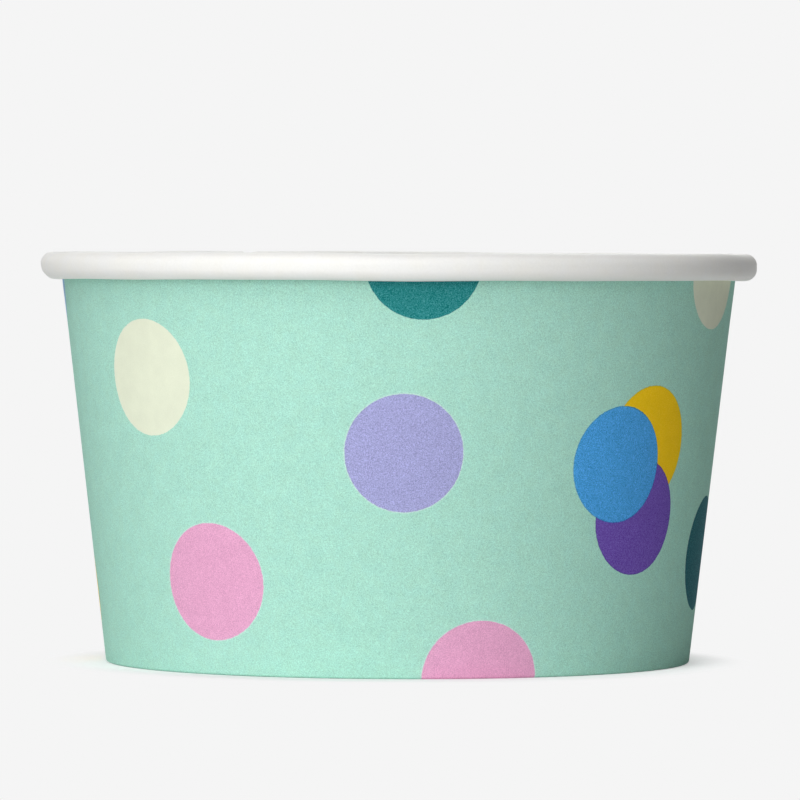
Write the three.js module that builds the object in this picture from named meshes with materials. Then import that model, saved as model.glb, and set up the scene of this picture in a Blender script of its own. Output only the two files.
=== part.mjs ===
// A paper snack bowl: a tapered side wall of printed board with a rolled rim, a lapped
// side seam and a hem folded round the skirt of a flat base.
//
// Millimetres, +Z up. The origin is the centre of the foot, on the plane it stands on.

import * as THREE from 'three';

// ---- Driving dimensions, in millimetres unless a comment says otherwise ----

// The bowl
const bowlHeight = 65.8; // from the foot plane to the top of the rolled rim
const rimDiameter = 115; // over the rolled rim
const footDiameter = 93.8; // over the wall, where its outer face would meet the foot plane

// The boards
const wallBoard = 0.4; // thickness of the side wall's board
const baseBoard = 0.4; // thickness of the base's board

// The rolled rim, seen in section
const rollRadius = 1.78; // outer radius of the bend over the top of the roll
const rollDrop = 0.86; // straight run down the outside, between the two bends
const tuckGap = 0.15; // from the wall's printed face to the turn that tucks in beside it
const tuckAngle = 80; // degrees that the tucked edge turns on inside the roll

// The fold at the foot and the hem
const foldRadius = 0.2; // inner radius of the two creases at the foot
const hemDrop = 1.6; // from the underside of the base down to the hem's free edge

// The base
const floorHeight = 7; // from the foot plane up to the upper face of the base
const baseBend = 0.5; // inner radius where the base turns down into its skirt
const skirtClearance = 0.4; // from the skirt's lower edge to the fold where the board is doubled
const glueGap = 0.1; // glue line between the skirt and the board on each side of it

// The side seam
const seamAngle = 127; // degrees anticlockwise from +X to the outer cut edge of the lap
const lapWidth = 8; // width of the doubled strip
const joggleWidth = 3; // length over which the outer board steps up onto the lap
const cutEdgeRun = 0.1; // length round the wall in which a cut edge rises to its full height

// Fineness of the faceted solids
const wallFacets = 96;
const foldSteps = 3;
const rollTopSteps = 4;
const rollUnderSteps = 9;
const baseBendSteps = 4;

// ---- Shared geometry of the section, in the plane of radius r and height z ----

const degrees = Math.PI / 180;
const rimRadius = rimDiameter / 2;
const footRadius = footDiameter / 2;

// The wall's printed face is the straight line from the foot that just touches the inside
// of the bend over the top of the roll. This fixes the taper.
const rollTopCentre = { r: rimRadius - rollRadius, z: bowlHeight - rollRadius };
const centreLean = Math.atan2(rollTopCentre.r - footRadius, rollTopCentre.z);
const centreDistance = Math.hypot(rollTopCentre.r - footRadius, rollTopCentre.z);
const taper = centreLean - Math.asin((rollRadius - wallBoard) / centreDistance);

// Radius of the wall's printed face and of its white face at a height.
const printedFaceRadius = (z) => footRadius + z * Math.tan(taper);
const whiteFaceRadius = (z) => printedFaceRadius(z) - wallBoard / Math.cos(taper);

// Level distance between the white faces of the wall and the hem, which hold the skirt.
const skirtSlot = (baseBoard + 2 * glueGap) / Math.cos(taper);

// Headings of a board in section, anticlockwise from the outward direction.
const headingUpWall = Math.PI / 2 - taper;
const headingDownWall = headingUpWall - Math.PI;

// A point of a board's section is a place on one face and the unit normal from that face
// into the board, which lies to the right of the direction of travel.
const facePoint = (r, z, heading) => ({
  r,
  z,
  intoR: Math.sin(heading),
  intoZ: -Math.cos(heading),
});

// A bend from one heading to another. A left turn has the board on its outside, and a
// right turn has it on its inside.
function bend(centre, radius, fromHeading, toHeading, steps) {
  const side = toHeading > fromHeading ? 1 : -1;
  const points = [];
  for (let step = 0; step <= steps; step += 1) {
    const heading = fromHeading + ((toHeading - fromHeading) * step) / steps;
    const point = facePoint(0, 0, heading);
    point.r = centre.r + side * radius * point.intoR;
    point.z = centre.z + side * radius * point.intoZ;
    points.push(point);
  }
  return points;
}

// The closed outline of a board that follows one face, as [r, z] pairs. The near face is
// moved into the board by nearShift, and the far face lies farDepth away.
function boardOutline(face, nearShift, farDepth) {
  const near = face.map((p) => [p.r + p.intoR * nearShift, p.z + p.intoZ * nearShift]);
  const far = face.map((p) => [p.r + p.intoR * farDepth, p.z + p.intoZ * farDepth]);
  return near.concat(far.reverse());
}

// ---- Side wall ----

// The side seam, going anticlockwise: the sheet steps outwards over the joggle, its inner
// cut edge shows on the white side, both layers run side by side over the lap, and the
// outer cut edge ends it on the printed side.
const wallMeanRadius = (footRadius + rimRadius) / 2;
const angleOf = (arcLength) => arcLength / wallMeanRadius;
const outerEdge = seamAngle * degrees;
const innerEdge = outerEdge - angleOf(lapWidth);
const joggleStart = innerEdge - angleOf(joggleWidth);

// How far each face of the sheet stands out from the plain wall at an angle round it.
function seamShift(angle) {
  if (angle <= joggleStart || angle >= outerEdge + angleOf(cutEdgeRun)) {
    return { white: 0, printed: 0 };
  }
  if (angle <= innerEdge) {
    const rise = wallBoard * THREE.MathUtils.smoothstep(angle, joggleStart, innerEdge);
    return { white: rise, printed: rise };
  }
  return { white: 0, printed: wallBoard };
}

// Angles of the sections: regular ones, and those where the seam changes.
function sectionAngles() {
  const seamAngles = [
    joggleStart,
    joggleStart + angleOf(joggleWidth) / 3,
    joggleStart + (2 * angleOf(joggleWidth)) / 3,
    innerEdge,
    innerEdge + angleOf(cutEdgeRun),
    (innerEdge + outerEdge) / 2,
    outerEdge,
    outerEdge + angleOf(cutEdgeRun),
  ];
  const spacing = (2 * Math.PI) / wallFacets;
  const first = seamAngles[0] - spacing / 2;
  const last = seamAngles[seamAngles.length - 1] + spacing / 2;
  const regular = Array.from({ length: wallFacets }, (_, index) => index * spacing);
  const clearOfSeam = regular.filter((angle) => angle < first || angle > last);
  return clearOfSeam.concat(seamAngles).sort((a, b) => a - b);
}

// The white face of the sheet, from the hem's free edge down round the fold, up the wall
// and over the roll to the tucked edge.
function whiteFace(printedShift) {
  // The creases rise with the doubled board, so that its printed face stays on the foot plane.
  const creaseHeight = wallBoard + printedShift + foldRadius;
  const creaseInset = foldRadius / Math.cos(taper);
  const wallAtCrease = whiteFaceRadius(creaseHeight);
  const hemCrease = { r: wallAtCrease - skirtSlot + creaseInset, z: creaseHeight };
  const wallCrease = { r: wallAtCrease - creaseInset, z: creaseHeight };
  const hemTop = floorHeight - baseBoard - hemDrop;

  // The lower bend of the roll just clears the wall's printed face.
  const underHeight = rollTopCentre.z - rollDrop;
  const roomBesideWall = (rimRadius - printedFaceRadius(underHeight)) * Math.cos(taper);
  const underRadius = (roomBesideWall - printedShift - tuckGap) / (1 + Math.cos(taper));
  const underCentre = { r: rimRadius - underRadius, z: underHeight };
  const headingDown = -Math.PI / 2;
  const headingTucked = headingDown - Math.PI - tuckAngle * degrees;

  // The bend over the top is made in two halves that share its highest point.
  return [
    facePoint(whiteFaceRadius(hemTop) - skirtSlot, hemTop, headingDownWall),
    ...bend(hemCrease, foldRadius, headingDownWall, 0, foldSteps),
    ...bend(wallCrease, foldRadius, 0, headingUpWall, foldSteps),
    ...bend(rollTopCentre, rollRadius, headingUpWall, 0, rollTopSteps),
    ...bend(rollTopCentre, rollRadius, 0, headingDown, rollTopSteps).slice(1),
    ...bend(underCentre, underRadius, headingDown, headingTucked, rollUnderSteps),
  ];
}

// The solid swept round +Z through a closed outline at each angle. All the outlines have
// as many points, and the last one joins the first.
function sweepRound(angles, outlineAt) {
  const rings = angles.map((angle) => outlineAt(angle));
  const pointCount = rings[0].length;
  const positions = [];
  const triangles = [];
  rings.forEach((ring, ringIndex) => {
    const cos = Math.cos(angles[ringIndex]);
    const sin = Math.sin(angles[ringIndex]);
    ring.forEach(([r, z]) => positions.push(r * cos, r * sin, z));
    const here = ringIndex * pointCount;
    const next = ((ringIndex + 1) % rings.length) * pointCount;
    for (let point = 0; point < pointCount; point += 1) {
      const after = (point + 1) % pointCount;
      triangles.push(here + point, here + after, next + after);
      triangles.push(here + point, next + after, next + point);
    }
  });
  const geometry = new THREE.BufferGeometry();
  geometry.setAttribute('position', new THREE.Float32BufferAttribute(positions, 3));
  geometry.setIndex(triangles);
  geometry.computeVertexNormals();
  return geometry;
}

function sideWallGeometry() {
  return sweepRound(sectionAngles(), (angle) => {
    const shift = seamShift(angle);
    return boardOutline(whiteFace(shift.printed), shift.white, wallBoard + shift.printed);
  });
}

// ---- Base disc ----

// The upper face of the base, from the axis out to the bend and down the skirt, which
// follows the wall's taper one glue line inside its white face.
function baseUpperFace() {
  const outerBend = baseBend + baseBoard;
  const skirtFaceRadius = (z) => whiteFaceRadius(z) - glueGap / Math.cos(taper);
  const bendHeight = floorHeight - outerBend;
  const bendCentre = {
    r: skirtFaceRadius(bendHeight) - outerBend / Math.cos(taper),
    z: bendHeight,
  };
  const skirtEnd = 2 * wallBoard + skirtClearance;
  return [
    facePoint(0, floorHeight, 0),
    ...bend(bendCentre, outerBend, 0, headingDownWall, baseBendSteps),
    facePoint(skirtFaceRadius(skirtEnd), skirtEnd, headingDownWall),
  ];
}

function baseDiscGeometry() {
  const outline = boardOutline(baseUpperFace(), 0, baseBoard);
  const profile = outline.map(([r, z]) => new THREE.Vector2(r, z)).reverse();
  const geometry = new THREE.LatheGeometry(profile, wallFacets);
  geometry.rotateX(Math.PI / 2);
  return geometry;
}

// ---- The bowl ----

const printedBoard = new THREE.MeshStandardMaterial({
  name: 'printed_board',
  color: 0x9fd6c1,
  roughness: 0.6,
  metalness: 0,
});

const whiteBoard = new THREE.MeshStandardMaterial({
  name: 'white_board',
  color: 0xf2f1ec,
  roughness: 0.45,
  metalness: 0,
});

const sideWall = new THREE.Mesh(sideWallGeometry(), printedBoard);
sideWall.name = 'side_wall';

const baseDisc = new THREE.Mesh(baseDiscGeometry(), whiteBoard);
baseDisc.name = 'base_disc';

const bowl = new THREE.Group();
bowl.name = 'paper_snack_bowl';
bowl.add(sideWall, baseDisc);

export default bowl;
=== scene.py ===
"""Paper snack bowl: a printed side wall with a rolled rim and a hem, and a base cup.

Lengths are in metres and +Z is up. The origin is the centre of the foot, and the front of
the print faces -Y. Angles round the bowl run anticlockwise from +X.
"""

import math
import random
from collections import namedtuple

import bpy
from bpy.props import FloatProperty, FloatVectorProperty, IntProperty, PointerProperty
from mathutils import Matrix, Vector


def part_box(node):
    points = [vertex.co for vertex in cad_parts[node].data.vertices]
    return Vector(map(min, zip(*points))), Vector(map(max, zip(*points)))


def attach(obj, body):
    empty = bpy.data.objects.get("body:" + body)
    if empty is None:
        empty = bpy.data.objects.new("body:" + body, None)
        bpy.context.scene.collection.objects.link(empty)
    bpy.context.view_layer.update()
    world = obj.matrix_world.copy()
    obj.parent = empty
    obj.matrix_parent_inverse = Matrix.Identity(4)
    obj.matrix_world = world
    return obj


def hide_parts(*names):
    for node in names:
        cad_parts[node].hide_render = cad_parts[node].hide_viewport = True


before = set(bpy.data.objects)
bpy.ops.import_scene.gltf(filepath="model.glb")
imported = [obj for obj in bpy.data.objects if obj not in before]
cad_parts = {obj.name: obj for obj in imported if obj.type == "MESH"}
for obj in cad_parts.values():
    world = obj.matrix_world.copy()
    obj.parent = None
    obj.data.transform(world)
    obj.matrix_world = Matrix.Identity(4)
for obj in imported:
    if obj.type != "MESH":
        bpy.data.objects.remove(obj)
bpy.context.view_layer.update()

bl_info = {
    "name": "Paper snack bowl",
    "version": (1, 0, 0),
    "blender": (4, 5, 0),
    "location": "View3D > Sidebar > Paper Bowl",
    "description": "Makes a rolled-rim paper bowl with a dotted print, and a plain studio round it",
    "category": "Add Mesh",
}

MM = 0.001
WALL_LOW, WALL_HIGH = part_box("side_wall")
_, BASE_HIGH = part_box("base_disc")


# ---- Sizes, colours and lamps that a user would change ----


def length(name, description, default):
    """A size in metres that the sidebar shows with its unit."""
    return FloatProperty(
        name=name,
        description=description,
        default=default,
        min=0,
        precision=5,
        step=0.01,
        unit="LENGTH",
    )


def turn(name, description, degrees):
    """An angle, kept in radians and shown in degrees."""
    return FloatProperty(
        name=name,
        description=description,
        default=math.radians(degrees),
        subtype="ANGLE",
    )


def ink(name, description, colour):
    """A colour of ink or board, in linear light."""
    return FloatVectorProperty(
        name=name,
        description=description,
        default=colour,
        size=3,
        min=0,
        max=1,
        subtype="COLOR",
    )


def share(name, description, default, top=1.0):
    """A plain number from nothing up to a sensible most."""
    return FloatProperty(
        name=name,
        description=description,
        default=default,
        min=0,
        max=top,
        precision=3,
    )


class PaperBowlSizes(bpy.types.PropertyGroup):
    """Sizes of the bowl. The outer ones start at those of the CAD model."""

    bowl_height: length(
        "Bowl height", "From the foot to the top of the rolled rim", WALL_HIGH.z - WALL_LOW.z
    )
    rim_diameter: length(
        "Rim diameter", "Over the rolled rim", WALL_HIGH.y - WALL_LOW.y
    )
    foot_diameter: length(
        "Foot diameter", "Over the printed face where it would meet the table", 93.8 * MM
    )
    floor_height: length(
        "Floor height", "From the foot up to the upper face of the base", BASE_HIGH.z
    )
    wall_board: length("Wall board", "Thickness of the side wall's board", 0.4 * MM)
    base_board: length("Base board", "Thickness of the base's board", 0.4 * MM)
    roll_radius: length(
        "Roll radius", "Outer radius of the bend over the top of the roll", 1.78 * MM
    )
    roll_drop: length(
        "Roll drop", "Straight run down the outside of the roll, between its bends", 0.86 * MM
    )
    tuck_gap: length(
        "Tuck gap", "From the printed face to the turn that tucks in beside it", 0.15 * MM
    )
    tuck_angle: turn("Tuck angle", "How far the tucked edge turns on inside the roll", 80)
    fold_radius: length("Fold radius", "Inner radius of the creases at the foot", 0.1 * MM)
    hem_drop: length(
        "Hem drop", "From the underside of the base down to the hem's free edge", 1.6 * MM
    )
    base_bend: length(
        "Base bend", "Inner radius where the base turns down into its skirt", 0.5 * MM
    )
    skirt_clearance: length(
        "Skirt clearance", "From the skirt's lower edge to the fold below it", 0.4 * MM
    )
    glue_gap: length("Glue gap", "Glue line on each side of the skirt", 0.1 * MM)
    seam_angle: turn("Seam angle", "Place of the outer cut edge of the side seam", 127)
    lap_width: length("Lap width", "Width of the doubled strip of the seam", 8 * MM)
    joggle_width: length(
        "Joggle width", "Length over which the outer layer steps up onto the lap", 3 * MM
    )
    cut_edge_run: length(
        "Cut edge run", "Length round the wall in which a cut edge rises", 0.03 * MM
    )
    rim_wave: length("Rim wave", "How far the curled rim wanders up and down", 0.095 * MM)
    rim_sag: length("Rim sag", "How far the rim hangs lower at its +X and -X sides", 0.12 * MM)
    rim_tuck: length("Rim tuck", "How far the rim's lower turn is pressed in all round", 0.2 * MM)
    side_tuck: length(
        "Side tuck", "How much further it is pressed in on the -X side", 1.0 * MM
    )
    dot_radius: length("Dot radius", "Radius of the printed dots", 9.2 * MM)
    ring_count: IntProperty(
        name="Sections",
        description="Sections of the side wall round the bowl",
        default=384,
        min=48,
        max=600,
    )


class PaperBowlColours(bpy.types.PropertyGroup):
    """Inks of the print and tones of the board, in linear light."""

    mint: ink("Mint", "Ground of the print", (0.395, 0.706, 0.590))
    lilac: ink("Lilac", "Ink of the lilac dots", (0.365, 0.368, 0.645))
    cream: ink("Cream", "Ink of the cream dots", (0.770, 0.810, 0.640))
    pink: ink("Pink", "Ink of the pink dots", (0.755, 0.365, 0.560))
    teal: ink("Teal", "Ink of the teal dots", (0.020, 0.232, 0.236))
    # Painted shade: the teal ink made darker, as teal looks in the shade at the bowl's right. These
    # dots use it in place of the teal.
    shaded_teal: ink("Shaded teal", "Ink of the shaded teal dots", (0.006, 0.105, 0.125))
    blue: ink("Blue", "Ink of the blue dots", (0.068, 0.362, 0.780))
    light_blue: ink("Light blue", "Ink of the light blue dots", (0.350, 0.560, 0.800))
    purple: ink("Purple", "Ink of the purple dots", (0.160, 0.085, 0.440))
    yellow: ink("Yellow", "Ink of the yellow dots", (0.960, 0.610, 0.000))
    white: ink("White coating", "Coated face of the board", (0.820, 0.818, 0.802))
    raw: ink("Raw board", "Fibre at the cut edges", (0.700, 0.660, 0.570))


class PaperBowlStudio(bpy.types.PropertyGroup):
    """The plain studio: lamps, floor and camera."""

    key_power: share("Key power", "Watts of the large soft lamp at the front left", 12, 500)
    high_power: share("High power", "Watts of the soft lamp above it", 7.1, 500)
    front_power: share("Front power", "Watts of the soft lamp above the camera", 3.4, 500)
    back_power: share("Back power", "Watts of the soft lamp behind", 3, 500)
    fill: share("Fill", "Even light from all round", 0.01, 5)
    backdrop: share("Backdrop", "Tone of floor and backdrop, where 1 is white", 0.913)
    shadow_depth: share("Shadow depth", "How much of the floor's own shading shows", 0.9)
    # The open floor's tones set how far the floor's glow is dimmed near the foot. Where one is
    # higher than the lit paint there, the floor shows painted shade.
    open_floor_left: share(
        "Open floor, left", "Tone the lit floor is taken to have at the bowl's left", 0.75
    )
    open_floor_right: share("Open floor, right", "The same at its right", 0.46)
    # Painted shade: in front of the foot the floor's glow is dimmed by more than the lit paint
    # gives back, which makes a darker line there.
    painted_shade_front: share("Open floor, front", "How much more it is taken to be in front", 0.2)
    camera_distance: length("Camera distance", "From the bowl's axis to the lens", 1.127)
    camera_height: length("Camera height", "From the table to the lens", 68.6 * MM)
    camera_aside: length("Camera aside", "From the bowl's axis to the lens, towards +X", 0.26 * MM)
    camera_tilt: turn("Camera tilt", "How far the camera looks down", 1.35)
    camera_roll: turn("Camera roll", "How far the camera leans about its view", 0.2)
    lens: FloatProperty(
        name="Lens",
        description="Focal length on a sensor 36 mm wide",
        default=315.1,
        min=20,
        max=1000,
    )


class PaperBowl(bpy.types.PropertyGroup):
    """Everything that belongs to the paper bowl."""

    sizes: PointerProperty(type=PaperBowlSizes)
    colours: PointerProperty(type=PaperBowlColours)
    studio: PointerProperty(type=PaperBowlStudio)


# ---- The section of the bowl, in the plane of radius r and height z ----

FacePoint = namedtuple("FacePoint", "r z into_r into_z zone")


def smooth(share_of_way):
    """An S-curve from 0 to 1."""
    x = min(max(share_of_way, 0.0), 1.0)
    return x * x * (3 - 2 * x)


def into_board(point, depth):
    """The place in the board at a depth under a face point."""
    return point.r + point.into_r * depth, point.z + point.into_z * depth


def face_point(r, z, heading, zone):
    """A place on a face, and the direction from it into the board."""
    return FacePoint(r, z, math.sin(heading), -math.cos(heading), zone)


def bend(centre, radius, start, end, steps, zone):
    """A bend from one heading to another. A left turn has the board on its outside."""
    side = 1 if end > start else -1
    points = []
    for step in range(steps + 1):
        heading = start + (end - start) * step / steps
        into_r = math.sin(heading)
        into_z = -math.cos(heading)
        r = centre[0] + side * radius * into_r
        z = centre[1] + side * radius * into_z
        points.append(FacePoint(r, z, into_r, into_z, zone))
    return points


def straight(first, last, steps, zone):
    """The places between two face points, without the two themselves."""
    points = []
    for step in range(1, steps):
        way = step / steps
        r = first.r + (last.r - first.r) * way
        z = first.z + (last.z - first.z) * way
        points.append(FacePoint(r, z, last.into_r, last.into_z, zone))
    return points


class BowlForm:
    """The form of the bowl that follows from its sizes."""

    HEM_STEPS = 4
    FOLD_STEPS = 6
    WALL_STEPS = 28
    TOP_STEPS = 10
    UNDER_STEPS = 22
    FLAT_STEPS = 16
    BEND_STEPS = 8
    SKIRT_STEPS = 5

    def __init__(self, sizes):
        self.sizes = sizes
        self.rim_radius = sizes.rim_diameter / 2
        self.foot_radius = sizes.foot_diameter / 2
        self.roll_r = self.rim_radius - sizes.roll_radius
        self.roll_z = sizes.bowl_height - sizes.roll_radius
        lean_run = self.roll_r - self.foot_radius
        lean = math.atan2(lean_run, self.roll_z)
        reach = math.hypot(lean_run, self.roll_z)
        self.taper = lean - math.asin((sizes.roll_radius - sizes.wall_board) / reach)
        self.cos = math.cos(self.taper)
        self.up_wall = math.pi / 2 - self.taper
        self.down_wall = self.up_wall - math.pi
        self.skirt_slot = (sizes.base_board + 2 * sizes.glue_gap) / self.cos
        self.sheet_start = self.foot_radius / math.sin(self.taper)

        mean_radius = (self.foot_radius + self.rim_radius) / 2
        self.outer_edge = sizes.seam_angle
        self.inner_edge = self.outer_edge - sizes.lap_width / mean_radius
        self.joggle_start = self.inner_edge - sizes.joggle_width / mean_radius
        self.edge_run = sizes.cut_edge_run / mean_radius

    def printed_radius(self, z):
        """Radius of the wall's printed face at a height."""
        return self.foot_radius + z * math.tan(self.taper)

    def white_radius(self, z):
        """Radius of the wall's white face at a height."""
        return self.printed_radius(z) - self.sizes.wall_board / self.cos

    def seam_shift(self, angle):
        """How far the white and the printed face stand out from the plain wall."""
        board = self.sizes.wall_board
        if angle <= self.joggle_start or angle >= self.outer_edge + self.edge_run / 2:
            return 0.0, 0.0
        if angle <= self.inner_edge + self.edge_run / 2:
            way = (angle - self.joggle_start) / (self.inner_edge - self.joggle_start)
            rise = board * smooth(way)
            return rise, rise
        return 0.0, board

    def white_face(self, printed_shift):
        """The white face of the sheet, from the hem's free edge to the tucked edge."""
        sizes = self.sizes
        fold = sizes.fold_radius
        crease_z = sizes.wall_board + printed_shift + fold
        inset = fold / self.cos
        at_crease = self.white_radius(crease_z)
        hem_crease = (at_crease - self.skirt_slot + inset, crease_z)
        wall_crease = (at_crease - inset, crease_z)
        hem_top = sizes.floor_height - sizes.base_board - sizes.hem_drop

        under_z = self.roll_z - sizes.roll_drop
        room = (self.rim_radius - self.printed_radius(under_z)) * self.cos
        under_radius = (room - printed_shift - sizes.tuck_gap) / (1 + self.cos)
        under = (self.rim_radius - under_radius, under_z)
        roll = (self.roll_r, self.roll_z)
        down = -math.pi / 2
        tucked = down - math.pi - sizes.tuck_angle

        hem_end = face_point(
            self.white_radius(hem_top) - self.skirt_slot, hem_top, self.down_wall, "hem"
        )
        hem_fold = bend(hem_crease, fold, self.down_wall, 0, self.FOLD_STEPS, "fold")
        wall_fold = bend(wall_crease, fold, 0, self.up_wall, self.FOLD_STEPS, "fold")
        inside_top = bend(roll, sizes.roll_radius, self.up_wall, 0, self.TOP_STEPS, "roll")
        outside_top = bend(roll, sizes.roll_radius, 0, down, self.TOP_STEPS, "roll")
        turn_under = bend(under, under_radius, down, tucked, self.UNDER_STEPS, "roll")
        return (
            [hem_end]
            + straight(hem_end, hem_fold[0], self.HEM_STEPS, "hem")
            + hem_fold
            + wall_fold[1:]
            + straight(wall_fold[-1], inside_top[0], self.WALL_STEPS, "wall")
            + inside_top
            + outside_top[1:]
            + turn_under
        )

    def sheet_place(self, around, along):
        """Where a place on the wall lies on the flat sheet, before it is rolled up.

        around is the angle from the front, and along the distance up the slope."""
        reach = self.sheet_start + along
        swing = around * math.sin(self.taper)
        return reach * math.sin(swing), reach * math.cos(swing) - self.sheet_start


# ---- Meshes ----


class SlowWave:
    """A gentle wave that closes on itself round the bowl, made of a few counts of crests."""

    def __init__(self, seed, size, crests):
        chance = random.Random(seed)
        self.parts = []
        for count in crests:
            height = size * chance.uniform(0.5, 1.0) / math.sqrt(len(crests))
            self.parts.append((count, height, chance.uniform(0, 2 * math.pi)))

    def at(self, angle):
        """Height of the wave at an angle."""
        return sum(h * math.cos(count * angle + start) for count, h, start in self.parts)


def ring_angles(form):
    """Angles of the wall's sections, from just past the outer cut edge round to it."""
    run = form.edge_run
    turned = form.outer_edge + 2 * math.pi
    inner = form.inner_edge + 2 * math.pi
    joggle = form.joggle_start + 2 * math.pi
    marks = [form.outer_edge + run, inner, inner + run, turned]
    joggle_steps = 8
    marks += [joggle + (inner - joggle) * step / joggle_steps for step in range(joggle_steps)]
    count = form.sizes.ring_count
    spacing = 2 * math.pi / count
    angles = [form.outer_edge + spacing * step for step in range(1, count)]
    clear = [a for a in angles if all(abs(a - mark) > spacing / 4 for mark in marks)]
    return sorted(clear + marks)


def roll_shape(form):
    """Returns a function that leans and presses the curled rim a little, section by section."""
    sizes = form.sizes
    lift = SlowWave(25701, sizes.rim_wave, (2, 3, 5, 9, 14))
    spread = SlowWave(23, sizes.rim_wave / 2, (2, 4, 7, 12))
    press = SlowWave(5, sizes.rim_tuck / 2, (3, 5, 8))
    low_turn = form.roll_z - sizes.roll_drop - sizes.roll_radius
    blend_start = sizes.bowl_height * 0.8

    def shaped(angle, r, z):
        hold = smooth((z - blend_start) / (low_turn - blend_start))
        facing_side = max(0.0, -math.cos(angle)) ** 2
        tuck = sizes.rim_tuck + press.at(angle) + sizes.side_tuck * facing_side
        depth = min(max((form.roll_z - z) / (form.roll_z - low_turn), 0.0), 1.0)
        outward = min(max((r - form.roll_r) / sizes.roll_radius, 0.0), 1.0)
        moved_r = r + hold * spread.at(angle) - tuck * depth * depth * outward
        moved_z = z + hold * (lift.at(angle) - sizes.rim_sag * math.cos(angle) ** 2)
        return moved_r, moved_z

    return shaped


def distances(points):
    """The running length along a line of (r, z) places."""
    lengths = [0.0]
    for (r0, z0), (r1, z1) in zip(points, points[1:]):
        lengths.append(lengths[-1] + math.hypot(r1 - r0, z1 - z0))
    return lengths


# Strips of a square, as (bottom, top), one for each part of the wall. No two faces share a
# place in it, so it can carry the whole wall's textures. The strips start at -X, so the front
# half of the print is whole.
SQUARE_WIDTH = 1024
STRIPS = {
    "tucked cut": (2, 5),
    "roll printed": (9, 17),
    "hem white": (21, 29),
    "hem printed": (33, 53),
    "hem cut": (57, 60),
    "roll white": (64, 108),
    "wall white": (112, 240),
    "wall printed, back": (244, 629),
    "wall printed": (633, 1018),
}
STRIP_START = 4
STRIP_LENGTH = 996
INNER_EDGE_COLUMN = (1012, 1014)
OUTER_EDGE_COLUMN = (1017, 1019)


def strip_of(point, plain, lengths):
    """The strip on which a face of the section lies, and how far up it the face's ends are."""
    last = len(plain) - 1
    if point == last:
        return "tucked cut", 0.0, 1.0
    if point == 2 * last + 1:
        return "hem cut", 0.0, 1.0
    side = "white" if point < last else "printed"
    ends = (point, point + 1) if point < last else (2 * last + 1 - point, 2 * last - point)
    fold_end = max(i for i, p in enumerate(plain) if p.zone == "fold")
    roll_start = min(i for i, p in enumerate(plain) if p.zone == "roll")
    for name, first, final in (
        ("hem", 0, fold_end),
        ("wall", fold_end, roll_start),
        ("roll", roll_start, last),
    ):
        if max(ends) <= final:
            span = lengths[final] - lengths[first]
            up = [(lengths[end] - lengths[first]) / span for end in ends]
            return f"{name} {side}", up[0], up[1]


def square_places(strip, low, high, turn, turn_after, column):
    """The four corners of a face in the square. A column stands in for the turns at a cut."""
    if column:
        left, right = column
    else:
        # Each strip of the printed wall holds half a turn, and each of the others a whole one.
        if strip == "wall printed" and turn >= 0.5:
            strip = "wall printed, back"
        first = 0.5 if strip.endswith("back") else 0.0
        whole = 0.5 if strip.startswith("wall printed") else 1.0
        left, right = (
            STRIP_START + STRIP_LENGTH * (at - first) / whole for at in (turn, turn_after)
        )
    bottom, top = STRIPS[strip]
    low, high = (bottom + (top - bottom) * at for at in (low, high))
    corners = ((left, low), (left, high), (right, high), (right, low))
    return [(x / SQUARE_WIDTH, y / SQUARE_WIDTH) for x, y in corners]


def turned_round(angle, r, z):
    """The place in space of (r, z) at an angle."""
    return r * math.cos(angle), r * math.sin(angle), z


def wall_places(form, angles):
    """The wall's vertices: in each section up the white face and back along the printed one."""
    shaped = roll_shape(form)
    vertices = []
    for angle in angles:
        white_shift, printed_shift = form.seam_shift(angle % (2 * math.pi))
        face = form.white_face(printed_shift)
        depth = form.sizes.wall_board + printed_shift
        section = [into_board(p, white_shift) for p in face]
        section += [into_board(p, depth) for p in reversed(face)]
        vertices += [turned_round(angle, *shaped(angle, r, z)) for r, z in section]
    return vertices


def slope_places(form, plain, lengths):
    """How far up the sheet's slope each point of a section lies, from the foot plane."""
    first_wall = next(i for i, p in enumerate(plain) if p.zone == "wall")
    _, height = into_board(plain[first_wall], form.sizes.wall_board)
    start = lengths[first_wall] - height / form.cos
    up = [at - start for at in lengths]
    return up + up[::-1]


# The wall's materials, in the order of its slots.
PRINTED, WHITE, CUT = range(3)


def make_wall_mesh(form):
    """The side wall as one closed sheet of board, with its two flat layouts."""
    angles = ring_angles(form)
    plain = form.white_face(0.0)
    count = len(plain)
    ring_size = 2 * count
    lengths = distances([into_board(p, form.sizes.wall_board) for p in plain])
    along = slope_places(form, plain, lengths)
    strips = [strip_of(point, plain, lengths) for point in range(ring_size)]
    front = math.radians(270)
    faces = []
    slots = []
    sheet = []
    square = []
    for ring, angle in enumerate(angles):
        last = ring == len(angles) - 1
        next_angle = angle if last else angles[ring + 1]
        here = ring * ring_size
        after = 0 if last else here + ring_size
        around_here = angle - front
        around_after = next_angle - front
        steps_in = math.isclose(next_angle - angle, form.edge_run, abs_tol=1e-9)
        turn = (angle / (2 * math.pi) + 0.5) % 1.0
        turn_after = turn + (around_after - around_here) / (2 * math.pi)
        column = OUTER_EDGE_COLUMN if last else INNER_EDGE_COLUMN if steps_in else None
        for point in range(ring_size):
            beyond = (point + 1) % ring_size
            faces.append((here + point, here + beyond, after + beyond, after + point))
            if point < count - 1 and not steps_in:
                slots.append(WHITE)
            elif count <= point < ring_size - 1 and not last:
                slots.append(PRINTED)
            else:
                slots.append(CUT)
            for around, place in (
                (around_here, point),
                (around_here, beyond),
                (around_after, beyond),
                (around_after, point),
            ):
                sheet.append(form.sheet_place(around, along[place]))
            square += square_places(*strips[point], turn, turn_after, column)
    return wall_places(form, angles), faces, slots, sheet, square


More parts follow.
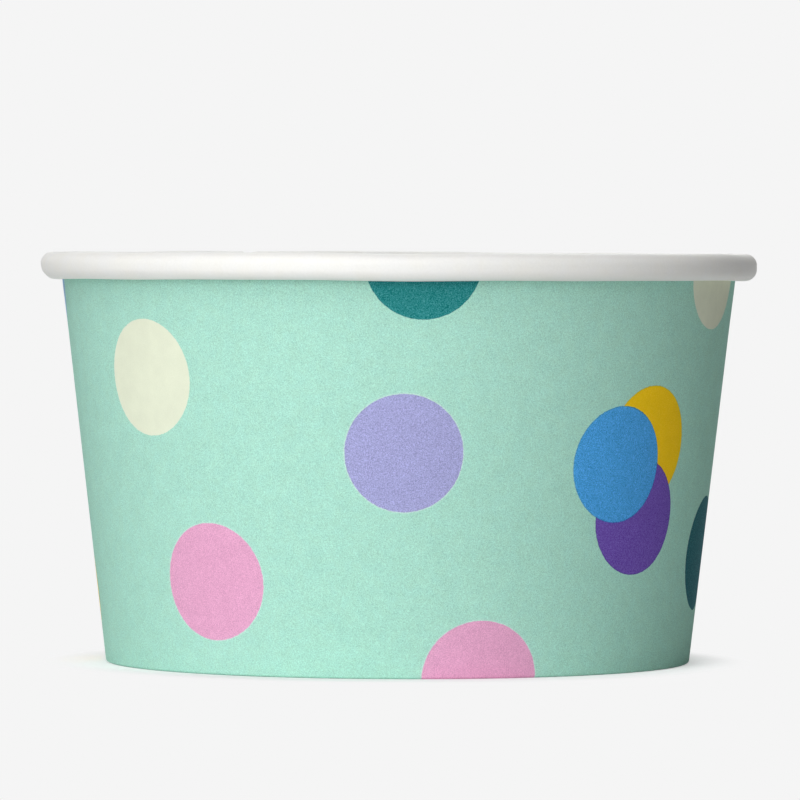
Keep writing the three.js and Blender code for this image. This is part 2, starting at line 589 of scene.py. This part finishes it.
def build_mesh(name, vertices, faces, slots, materials):
    """A mesh with smooth faces that stays sharp at its cut edges."""
    sharp_from = math.radians(50)
    mesh = bpy.data.meshes.new(name)
    mesh.from_pydata(vertices, [], faces)
    for material in materials:
        mesh.materials.append(material)
    mesh.polygons.foreach_set("material_index", slots)
    mesh.polygons.foreach_set("use_smooth", [True] * len(faces))
    mesh.validate()
    mesh.update()
    mesh.set_sharp_from_angle(angle=sharp_from)
    return mesh


def put_in_scene(name, data):
    """An object in the scene for a mesh, a lamp or a camera."""
    piece = bpy.data.objects.new(name, data)
    bpy.context.scene.collection.objects.link(piece)
    return piece


def make_base_mesh(form):
    """The base: a flat disc drawn down into a skirt, with fine pleats round its bend."""
    sizes = form.sizes
    outer_bend = sizes.base_bend + sizes.base_board
    glue = sizes.glue_gap / form.cos
    bend_z = sizes.floor_height - outer_bend
    bend_r = form.white_radius(bend_z) - glue - outer_bend / form.cos
    skirt_z = 2 * sizes.wall_board + sizes.skirt_clearance
    turned = bend((bend_r, bend_z), outer_bend, 0, form.down_wall, form.BEND_STEPS, "bend")
    edge = face_point(form.white_radius(skirt_z) - glue, skirt_z, form.down_wall, "skirt")
    face = []
    for step in range(1, form.FLAT_STEPS):
        r = bend_r * step / form.FLAT_STEPS
        face.append(face_point(r, sizes.floor_height, 0, "flat"))
    face += turned + straight(turned[-1], edge, form.SKIRT_STEPS, "skirt") + [edge]

    pleat_count = 132
    segments_per_pleat = 4
    segments = segments_per_pleat * pleat_count
    pleat_depth = 0.02 * MM
    pleat_run = 1.5 * MM
    vertices = [(0.0, 0.0, sizes.floor_height), (0.0, 0.0, sizes.floor_height - sizes.base_board)]
    ring_size = 2 * len(face)
    for segment in range(segments):
        angle = 2 * math.pi * segment / segments
        ripple = pleat_depth * math.cos(pleat_count * angle)
        section = []
        for p in face:
            reach = smooth((p.r - bend_r + pleat_run) / pleat_run)
            section.append(into_board(p, ripple * reach if p.zone != "skirt" else ripple))
        section += [into_board(p, sizes.base_board) for p in reversed(face)]
        vertices += [turned_round(angle, r, z) for r, z in section]
    faces = []
    for segment in range(segments):
        here = 2 + segment * ring_size
        after = 2 + (segment + 1) % segments * ring_size
        faces.append((0, here, after))
        for point in range(ring_size - 1):
            faces.append((here + point, here + point + 1, after + point + 1, after + point))
        faces.append((1, after + ring_size - 1, here + ring_size - 1))
    return vertices, faces


# ---- Materials ----


class Bench:
    """Lays out the nodes of one material and links them."""

    COLUMN_WIDTH = 180

    # Places of the colour sockets on a Mix node.
    MIX_FACTOR = 0
    MIX_A = 6
    MIX_B = 7
    MIX_RESULT = 2

    def __init__(self, tree):
        self.tree = tree
        self.tree.nodes.clear()
        self.column = 0

    def add(self, kind, label="", **settings):
        """A new node, one column on from the last."""
        node = self.tree.nodes.new(kind)
        node.label = label
        node.location = (self.column * self.COLUMN_WIDTH, 0)
        self.column += 1
        for name, value in settings.items():
            setattr(node, name, value)
        return node

    def link(self, source, target):
        """Joins an output to an input."""
        self.tree.links.new(source, target)

    def feed(self, value, target):
        """Joins an output to an input, or writes a number or a colour into it."""
        if isinstance(value, bpy.types.NodeSocket):
            self.link(value, target)
        elif isinstance(value, tuple):
            target.default_value = (*value, 1.0)
        else:
            target.default_value = value

    def noise(self, label, place, size, detail=3.0, roughness=0.55):
        """Noise whose grains are about the given size across."""
        node = self.add("ShaderNodeTexNoise", label)
        node.inputs["Scale"].default_value = 1 / size
        node.inputs["Detail"].default_value = detail
        node.inputs["Roughness"].default_value = roughness
        self.link(place, node.inputs["Vector"])
        return node.outputs["Fac"]

    def spread(self, label, value, low, high, from_low=0.0, from_high=1.0, smooth_ends=False):
        """Maps one range of numbers onto another."""
        node = self.add("ShaderNodeMapRange", label)
        if smooth_ends:
            node.interpolation_type = "SMOOTHSTEP"
        node.inputs["From Min"].default_value = from_low
        node.inputs["From Max"].default_value = from_high
        node.inputs["To Min"].default_value = low
        node.inputs["To Max"].default_value = high
        self.link(value, node.inputs["Value"])
        return node.outputs["Result"]

    def maths(self, label, operation, first, second):
        """A sum on two numbers."""
        node = self.add("ShaderNodeMath", label, operation=operation)
        self.feed(first, node.inputs[0])
        self.feed(second, node.inputs[1])
        return node.outputs[0]

    def scaled(self, label, colour, amount):
        """A colour made brighter or darker."""
        node = self.add("ShaderNodeVectorMath", label, operation="SCALE")
        self.link(colour, node.inputs[0])
        self.link(amount, node.inputs["Scale"])
        return node.outputs[0]

    def blend(self, label, amount, first, second, how="MIX"):
        """A mix of two colours."""
        node = self.add("ShaderNodeMix", label, data_type="RGBA", blend_type=how)
        self.feed(amount, node.inputs[self.MIX_FACTOR])
        self.feed(first, node.inputs[self.MIX_A])
        self.feed(second, node.inputs[self.MIX_B])
        return node.outputs[self.MIX_RESULT]


def new_material(name):
    """A material, and the bench for its nodes."""
    material = bpy.data.materials.new(name)
    material.use_nodes = True
    return material, Bench(material.node_tree)


def finish_board(bench, colour, roughness, height, depth, gloss=0.5):
    """Ends a board material: its shader, with a fine relief."""
    relief = bench.add("ShaderNodeBump", "Relief of the board")
    relief.inputs["Strength"].default_value = 1.0
    relief.inputs["Distance"].default_value = depth
    bench.link(height, relief.inputs["Height"])
    shader = bench.add("ShaderNodeBsdfPrincipled", "Coated board")
    bench.link(colour, shader.inputs["Base Color"])
    bench.link(roughness, shader.inputs["Roughness"])
    bench.link(relief.outputs["Normal"], shader.inputs["Normal"])
    shader.inputs["IOR"].default_value = 1.5
    shader.inputs["Specular IOR Level"].default_value = gloss
    out = bench.add("ShaderNodeOutputMaterial", "Surface")
    bench.link(shader.outputs["BSDF"], out.inputs["Surface"])


# Dots as (colour, degrees round from the front, height of the centre in millimetres), laid
# down in this order, so a later dot covers an earlier one.
DOTS = (
    ("lilac", 1.0, 35.05),
    ("cream", -48.4, 46.3),
    ("pink", -36.2, 14.6),
    ("pink", 15.8, -0.1),
    ("teal", 4.1, 64.8),
    ("yellow", 50.4, 36.1),
    ("purple", 48.75, 24.7),
    ("blue", 42.8, 33.0),
    # This dot, in the shade at the bowl's right, takes the teal darkened with painted shade.
    ("shaded_teal", 79.8, 18.0),
    ("cream", 68.4, 63.0),
    ("light_blue", -91.3, 62.0),
    ("yellow", -94.8, 11.4),
    ("lilac", 101.0, 57.0),
    ("pink", 108.0, 22.0),
    ("yellow", 125.0, 46.0),
    ("cream", 131.0, 3.0),
    ("teal", 158.0, 36.0),
    ("blue", 149.5, 27.0),
    ("pink", 167.0, 64.0),
    ("lilac", 181.0, 15.0),
    ("purple", 193.5, 46.0),
    ("cream", 209.5, 23.0),
    # This one also takes the teal darkened with painted shade.
    ("shaded_teal", -133.5, 52.0),
    ("pink", -125.0, 8.0),
    ("cream", -115.5, 35.0),
)


# How an ink prints. The grain is how strongly the printer's screen shows in it, where 1 is
# the mint ground. The overprint is how much the colour under it shows through its edge, as a
# thin darker line. The opening is how much bare board shows in a thin line round it, where
# the mint is left open a hair wider than the dot.
Printing = namedtuple("Printing", "grain overprint opening", defaults=(0.0, 0.0))
INKS = {
    "lilac": Printing(1.5, opening=0.3),
    "cream": Printing(0.12),
    "pink": Printing(0.95, opening=0.3),
    "teal": Printing(2.2),
    # The teal darkened with painted shade prints like the teal.
    "shaded_teal": Printing(2.2),
    "blue": Printing(2.0, overprint=0.6),
    "light_blue": Printing(1.5),
    "purple": Printing(1.4, overprint=0.6),
    "yellow": Printing(0.35, overprint=0.6),
}


def ink_dot_group(white):
    """One printed dot: a disc of ink over whatever colour lies under it."""
    group = bpy.data.node_groups.new("Ink dot", "ShaderNodeTree")
    for name, kind in (
        ("Under", "Color"),
        ("Place", "Vector"),
        ("Centre", "Vector"),
        ("Radius", "Float"),
        ("Ink", "Color"),
        ("Under grain", "Float"),
        ("Ink grain", "Float"),
        ("Overprint", "Float"),
        ("Opening", "Float"),
    ):
        group.interface.new_socket(name, in_out="INPUT", socket_type="NodeSocket" + kind)
    for name, kind in (("Colour", "Color"), ("Grain", "Float")):
        group.interface.new_socket(name, in_out="OUTPUT", socket_type="NodeSocket" + kind)

    bench = Bench(group)
    given = bench.add("NodeGroupInput").outputs
    apart = bench.add("ShaderNodeVectorMath", "From the dot's centre", operation="DISTANCE")
    bench.link(given["Place"], apart.inputs[0])
    bench.link(given["Centre"], apart.inputs[1])
    inward = bench.maths("Inside the edge", "SUBTRACT", given["Radius"], apart.outputs["Value"])
    edge = 0.04 * MM
    overlap = 0.12 * MM
    gap = 0.16 * MM
    cover = bench.spread("Ink cover", inward, 0.0, 1.0, -edge, edge, smooth_ends=True)
    alone = bench.spread(
        "Ink alone", inward, 0.0, 1.0, overlap - edge, overlap + edge, smooth_ends=True
    )
    left_open = bench.spread("Left open", inward, 0.0, 1.0, -gap - edge, -gap + edge)
    bare = bench.maths("Board showing", "MULTIPLY", left_open, given["Opening"])
    under = bench.blend("Under the ink", bare, given["Under"], white)
    both = bench.blend("Both inks", given["Overprint"], given["Ink"], under, how="MULTIPLY")
    ink_here = bench.blend("Overlap at the edge", alone, both, given["Ink"])
    mixed = bench.blend("Ink over", cover, under, ink_here)
    change = bench.maths("Change of grain", "SUBTRACT", given["Ink grain"], given["Under grain"])
    added = bench.maths("Where covered", "MULTIPLY", change, cover)
    grain = bench.maths("Grain here", "ADD", given["Under grain"], added)
    result = bench.add("NodeGroupOutput")
    bench.link(mixed, result.inputs["Colour"])
    bench.link(grain, result.inputs["Grain"])
    return group


def hem_ridges(bench, form, solid):
    """The fine upright ridges that the knurling wheel presses into the hem. 1 is 0.01 mm."""
    ridge_count = 320
    ridge_height = 4.0
    fold_top = 1.0 * MM
    full_height = 1.5 * MM
    skirt_middle = form.white_radius(3 * MM) - form.skirt_slot / 2
    split = bench.add("ShaderNodeSeparateXYZ", "Place on the piece")
    bench.link(solid, split.inputs[0])
    x, y, z = split.outputs
    angle = bench.maths("Angle", "ARCTAN2", y, x)
    turns = bench.maths("Fine turns", "MULTIPLY", angle, ridge_count)
    wave = bench.maths("Ridges", "SINE", turns, 0)
    flat = bench.add("ShaderNodeCombineXYZ", "Level place")
    bench.link(x, flat.inputs[0])
    bench.link(y, flat.inputs[1])
    radius = bench.add("ShaderNodeVectorMath", "Radius", operation="LENGTH")
    bench.link(flat.outputs[0], radius.inputs[0])
    inside = bench.spread(
        "Inside the skirt",
        radius.outputs["Value"],
        1.0,
        0.0,
        skirt_middle,
        skirt_middle + 0.1 * MM,
    )
    above = bench.spread("Above the fold", z, 0.0, ridge_height, fold_top, full_height)
    pressed = bench.maths("Only on the hem", "MULTIPLY", inside, above)
    return bench.maths("Pressed ridges", "MULTIPLY", wave, pressed)


def printed_board(form, colours):
    """Mint print with dots on the coated outer face of the board."""
    material, bench = new_material("mint_printed_board")
    sheet = bench.add("ShaderNodeUVMap", "Flat sheet", uv_map="Sheet").outputs["UV"]
    solid = bench.add("ShaderNodeTexCoord", "Piece").outputs["Object"]
    screen = bench.noise("Print screen", solid, 0.165 * MM, detail=1.0)
    formation = bench.noise("Board formation", solid, 3.0 * MM, detail=3.0)
    film = bench.noise("Ink film", solid, 1.6 * MM, detail=2.0)

    red, green, blue = colours.mint
    drift = 0.012
    warm = (red * (1 + drift), green, blue * (1 - drift))
    cool = (red * (1 - drift), green, blue * (1 + drift))
    coolness = bench.spread("Hue drift", film, 0, 1, 0.35, 0.65)
    colour = bench.blend("Mint ground", coolness, warm, cool)

    wobble = bench.noise("Edge wobble", solid, 0.5 * MM, detail=1.0)
    shift = bench.spread("Edge shift", wobble, -0.05 * MM, 0.05 * MM, 0.2, 0.8)
    radius = bench.maths("Dot edge", "ADD", shift, form.sizes.dot_radius)
    group = ink_dot_group(tuple(colours.white))
    grain = 1.0
    for name, degrees, height in DOTS:
        dot = bench.add("ShaderNodeGroup", name.replace("_", " "), node_tree=group)
        x, y = form.sheet_place(math.radians(degrees), height * MM / form.cos)
        dot.inputs["Centre"].default_value = (x, y, 0)
        printing = INKS[name]
        for socket, value in (
            ("Under", colour),
            ("Place", sheet),
            ("Radius", radius),
            ("Ink", tuple(getattr(colours, name))),
            ("Under grain", grain),
            ("Ink grain", printing.grain),
            ("Overprint", printing.overprint),
            ("Opening", printing.opening),
        ):
            bench.feed(value, dot.inputs[socket])
        colour = dot.outputs["Colour"]
        grain = dot.outputs["Grain"]

    speckle = bench.spread("Speckle", screen, -0.19, 0.19, 0.25, 0.75)
    speckle = bench.maths("Speckle of this ink", "MULTIPLY", speckle, grain)
    clouds = bench.spread("Clouds", formation, 0.975, 1.025, 0.3, 0.7)
    tone = bench.maths("Tone", "ADD", speckle, clouds)
    # The white board shows a little where the ink lies thin, and the ink is deeper where it
    # lies thick, so the amount of white runs from below 0 to above it.
    thin = bench.spread("Thin ink", screen, -0.05, 0.05, 0.25, 0.75)
    colour = bench.blend("Ink on white board", thin, colour, tuple(colours.white))
    colour.node.clamp_factor = False
    colour.node.clamp_result = True
    colour = bench.scaled("Printed colour", colour, tone)
    rough = bench.spread("Matt ink", screen, 0.84, 0.92, 0.3, 0.7)
    ridges = hem_ridges(bench, form, solid)
    relief = bench.maths("Grain and ridges", "ADD", screen, ridges)
    finish_board(bench, colour, rough, relief, 0.01 * MM, gloss=0.2)
    return material


def coated_board(name, tone):
    """White coated board, with the slight cloudiness of paper."""
    material, bench = new_material(name)
    solid = bench.add("ShaderNodeTexCoord", "Piece").outputs["Object"]
    fibre = bench.noise("Paper fibre", solid, 0.35 * MM, detail=2.0)
    formation = bench.noise("Board formation", solid, 4.0 * MM, detail=3.0)
    red, green, blue = tone
    warm = (red, green * 0.992, blue * 0.965)
    warmth = bench.spread("Cloud", formation, 0, 1, 0.35, 0.65)
    colour = bench.blend("White", warmth, tuple(tone), warm)
    grain = bench.spread("Grain", fibre, 0.985, 1.015, 0.3, 0.7)
    colour = bench.scaled("White colour", colour, grain)
    rough = bench.spread("Satin", fibre, 0.48, 0.56, 0.3, 0.7)
    finish_board(bench, colour, rough, fibre, 0.006 * MM, gloss=0.35)
    return material


def cut_board(tone):
    """The raw fibre of a cut edge."""
    material, bench = new_material("cut_board_edge")
    solid = bench.add("ShaderNodeTexCoord", "Piece").outputs["Object"]
    fibre = bench.noise("Fibre", solid, 0.12 * MM, detail=4.0, roughness=0.7)
    darker = tuple(value * 0.8 for value in tone)
    colour = bench.blend("Fibre colour", fibre, darker, tuple(tone))
    rough = bench.spread("Matt", fibre, 0.85, 0.95)
    finish_board(bench, colour, rough, fibre, 0.03 * MM)
    return material


# ---- Operators ----


class PAPERBOWL_OT_side_wall(bpy.types.Operator):
    """Makes the printed side wall, with its rolled rim, lapped seam and hem"""

    bl_idname = "paper_bowl.side_wall"
    bl_label = "Make side wall"

    def execute(self, context):
        bowl = context.scene.paper_bowl
        form = BowlForm(bowl.sizes)
        vertices, faces, slots, sheet, square = make_wall_mesh(form)
        materials = [
            printed_board(form, bowl.colours),
            coated_board("white_coated_board", bowl.colours.white),
            cut_board(bowl.colours.raw),
        ]
        mesh = build_mesh("printed_wall", vertices, faces, slots, materials)
        # The print is laid out on the first, and the second holds the whole wall's textures in one
        # square.
        for name, places in (("Sheet", sheet), ("OFBake", square)):
            layer = mesh.uv_layers.new(name=name)
            layer.data.foreach_set("uv", [value for place in places for value in place])
        wall = put_in_scene("printed_wall", mesh)
        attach(wall, "root")
        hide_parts("side_wall")
        return {"FINISHED"}


class PAPERBOWL_OT_base_cup(bpy.types.Operator):
    """Makes the white base with its drawn skirt"""

    bl_idname = "paper_bowl.base_cup"
    bl_label = "Make base"

    def execute(self, context):
        bowl = context.scene.paper_bowl
        form = BowlForm(bowl.sizes)
        vertices, faces = make_base_mesh(form)
        materials = [coated_board("white_base_board", bowl.colours.white)]
        mesh = build_mesh("base_cup", vertices, faces, [0] * len(faces), materials)
        base = put_in_scene("base_cup", mesh)
        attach(base, "root")
        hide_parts("base_disc")
        return {"FINISHED"}


def seen_ray(bench):
    """1 for a ray from the camera, from a glossy face or through glass, else 0."""
    ray = bench.add("ShaderNodeLightPath", "Kind of ray").outputs
    seen = bench.maths("Camera or glossy", "MAXIMUM", ray["Is Camera Ray"], ray["Is Glossy Ray"])
    return bench.maths("Or through", "MAXIMUM", seen, ray["Is Transmission Ray"])


def area_lamp(name, watts, width, azimuth, elevation, aim):
    """A square soft lamp that looks at a point. Azimuth is counted from the front, to +X."""
    distance = 1.3
    across = math.radians(azimuth)
    up = math.radians(elevation)
    way = Vector((math.sin(across) * math.cos(up), -math.cos(across) * math.cos(up), math.sin(up)))
    data = bpy.data.lights.new(name, "AREA")
    data.energy = watts
    data.shape = "SQUARE"
    data.size = width
    lamp = put_in_scene(name, data)
    lamp.location = aim + way * distance
    lamp.rotation_euler = (-way).to_track_quat("-Z", "Y").to_euler()


class PAPERBOWL_OT_studio(bpy.types.Operator):
    """Sets up the pale floor, the soft lamps and the camera"""

    bl_idname = "paper_bowl.studio"
    bl_label = "Set up studio"

    def execute(self, context):
        scene = context.scene
        sizes = scene.paper_bowl.sizes
        studio = scene.paper_bowl.studio
        make_floor(studio, sizes.foot_diameter / 2)
        make_world(scene, studio)
        middle = Vector((0, 0, sizes.bowl_height / 2))
        # Each lamp's width is in metres, and its azimuth and elevation are in degrees.
        for name, watts, width, azimuth, elevation in (
            ("key_lamp", studio.key_power, 0.9, -20, 8),
            ("high_lamp", studio.high_power, 0.9, -35, 55),
            ("front_lamp", studio.front_power, 0.9, -10, 45),
            ("back_lamp", studio.back_power, 0.5, 180, 35),
        ):
            area_lamp(name, watts, width, azimuth, elevation, middle)
        make_camera(scene, studio)
        scene.view_settings.view_transform = "Standard"
        return {"FINISHED"}


def shaded_paint(bench, near, seen):
    """Matt paint that gives light back everywhere, and is itself seen only near the foot."""
    matt = bench.add("ShaderNodeBsdfDiffuse", "Matt paint")
    matt.inputs["Color"].default_value = (0.9, 0.9, 0.9, 1)
    dark = bench.add("ShaderNodeEmission", "No light")
    dark.inputs["Strength"].default_value = 0.0
    far = bench.maths("Far from the bowl", "SUBTRACT", 1.0, near)
    left_out = bench.maths("Paint left out", "MULTIPLY", seen, far)
    shaded = bench.add("ShaderNodeMixShader", "Shaded floor")
    bench.link(left_out, shaded.inputs["Fac"])
    bench.link(matt.outputs["BSDF"], shaded.inputs[1])
    bench.link(dark.outputs["Emission"], shaded.inputs[2])
    return shaded.outputs["Shader"]


def floor_paint(studio, foot_radius):
    """Pale floor that shows the backdrop's tone, less a shade close to the foot that is partly real
    and partly painted.

    The shade is the tone that the lit floor is taken to have with no bowl there, less what the
    paint shows, and the paint carries the bowl's real shade. Where the taken tone is higher than
    the lit paint, as in front of the foot, the glow is dimmed more than the paint makes up, and
    this paints shade. So a higher open tone leaves a deeper painted shade.
    """
    fade = 10 * MM
    left_end, right_end = -20 * MM, 60 * MM
    front_end, front_start = -42 * MM, -20 * MM
    material, bench = new_material("studio_floor")
    place = bench.add("ShaderNodeNewGeometry", "Place").outputs["Position"]
    apart = bench.add("ShaderNodeVectorMath", "From the bowl", operation="LENGTH")
    bench.link(place, apart.inputs[0])
    near = bench.spread(
        "Near the foot",
        apart.outputs["Value"],
        studio.shadow_depth,
        0.0,
        foot_radius,
        foot_radius + fade,
        smooth_ends=True,
    )
    seen = seen_ray(bench)
    across = bench.add("ShaderNodeSeparateXYZ", "Across the floor")
    bench.link(place, across.inputs[0])
    sideways = bench.spread(
        "Open floor's tone",
        across.outputs["X"],
        studio.open_floor_left,
        studio.open_floor_right,
        left_end,
        right_end,
    )
    # Painted shade: in front of the foot the glow is dimmed further, beyond the real shade that the
    # lit paint shows.
    front_painted_shade = bench.spread(
        "Painted shade in front",
        across.outputs["Y"],
        studio.painted_shade_front,
        0.0,
        front_end,
        front_start,
    )
    open_tone = bench.maths("Open floor's whole tone", "ADD", sideways, front_painted_shade)
    paint_share = bench.maths("Light of the open floor", "MULTIPLY", near, open_tone)
    # Near the foot the glow is dimmed, and the lit paint with the bowl's real shade fills it back.
    # Where the taken open tone is higher than the lit paint, the dimming is painted shade.
    glow_dimmed_for_shade = bench.maths("Glow dimmed for shade", "SUBTRACT", studio.backdrop, paint_share)
    glow = bench.add("ShaderNodeEmission", "Backdrop tone")
    bench.link(bench.maths("Only where seen", "MULTIPLY", seen, glow_dimmed_for_shade), glow.inputs["Strength"])
    mixed = bench.add("ShaderNodeAddShader", "Floor")
    bench.link(shaded_paint(bench, near, seen), mixed.inputs[0])
    bench.link(glow.outputs["Emission"], mixed.inputs[1])
    out = bench.add("ShaderNodeOutputMaterial", "Surface")
    bench.link(mixed.outputs["Shader"], out.inputs["Surface"])
    return material


def make_floor(studio, foot_radius):
    """A wide pale floor with the bowl's soft shadow, partly real and partly painted."""
    half = 4.0
    corners = [(-half, -half, 0), (half, -half, 0), (half, half, 0), (-half, half, 0)]
    mesh = bpy.data.meshes.new("studio_floor")
    mesh.from_pydata(corners, [], [(0, 1, 2, 3)])
    mesh.materials.append(floor_paint(studio, foot_radius))
    floor = put_in_scene("studio_floor", mesh)


def make_world(scene, studio):
    """An even pale surround: the backdrop where it is seen, and the fill light elsewhere."""
    world = bpy.data.worlds.new("studio_surround")
    world.use_nodes = True
    bench = Bench(world.node_tree)
    tone = studio.backdrop
    seen = bench.add("ShaderNodeBackground", "Backdrop tone")
    seen.inputs["Color"].default_value = (tone, tone, tone, 1)
    fill = bench.add("ShaderNodeBackground", "Fill light")
    fill.inputs["Color"].default_value = (1, 1, 1, 1)
    fill.inputs["Strength"].default_value = studio.fill
    mixed = bench.add("ShaderNodeMixShader", "Surround")
    bench.link(seen_ray(bench), mixed.inputs["Fac"])
    bench.link(fill.outputs["Background"], mixed.inputs[1])
    bench.link(seen.outputs["Background"], mixed.inputs[2])
    out = bench.add("ShaderNodeOutputWorld", "Surround")
    bench.link(mixed.outputs["Shader"], out.inputs["Surface"])
    scene.world = world


def make_camera(scene, studio):
    """A long lens a little above the rim, looking slightly down."""
    data = bpy.data.cameras.new("camera")
    data.lens = studio.lens
    data.sensor_width = 36
    data.clip_start = 0.05
    camera = put_in_scene("camera", data)
    look = Matrix.Rotation(math.radians(90) - studio.camera_tilt, 4, "X")
    lean = Matrix.Rotation(studio.camera_roll, 4, "Z")
    place = Matrix.Translation(
        (studio.camera_aside, -studio.camera_distance, studio.camera_height)
    )
    camera.matrix_world = place @ look @ lean
    scene.camera = camera


# ---- Sidebar panel and registration ----


class PAPERBOWL_PT_sidebar(bpy.types.Panel):
    """Lists the steps and the values of the paper bowl"""

    bl_idname = "PAPERBOWL_PT_sidebar"
    bl_label = "Paper snack bowl"
    bl_space_type = "VIEW_3D"
    bl_region_type = "UI"
    bl_category = "Paper Bowl"

    def draw(self, context):
        layout = self.layout
        bowl = context.scene.paper_bowl
        for step in STEPS:
            layout.operator(step.bl_idname)
        for title, group in (
            ("Sizes", bowl.sizes),
            ("Colours", bowl.colours),
            ("Studio", bowl.studio),
        ):
            box = layout.box()
            box.label(text=title)
            for name in group.bl_rna.properties.keys():
                if name not in ("rna_type", "name"):
                    box.prop(group, name)


GROUPS = (PaperBowlSizes, PaperBowlColours, PaperBowlStudio, PaperBowl)
STEPS = (PAPERBOWL_OT_side_wall, PAPERBOWL_OT_base_cup, PAPERBOWL_OT_studio)
CLASSES = GROUPS + STEPS + (PAPERBOWL_PT_sidebar,)


def register():
    """Registers the classes and gives each scene its paper bowl."""
    for cls in CLASSES:
        bpy.utils.register_class(cls)
    bpy.types.Scene.paper_bowl = PointerProperty(type=PaperBowl)


def unregister():
    """Takes back what register did."""
    del bpy.types.Scene.paper_bowl
    for cls in reversed(CLASSES):
        bpy.utils.unregister_class(cls)


def main():
    """Makes the bowl and its studio."""
    register()
    bpy.ops.paper_bowl.side_wall()
    bpy.ops.paper_bowl.base_cup()
    bpy.ops.paper_bowl.studio()


if __name__ == "__main__":
    main()
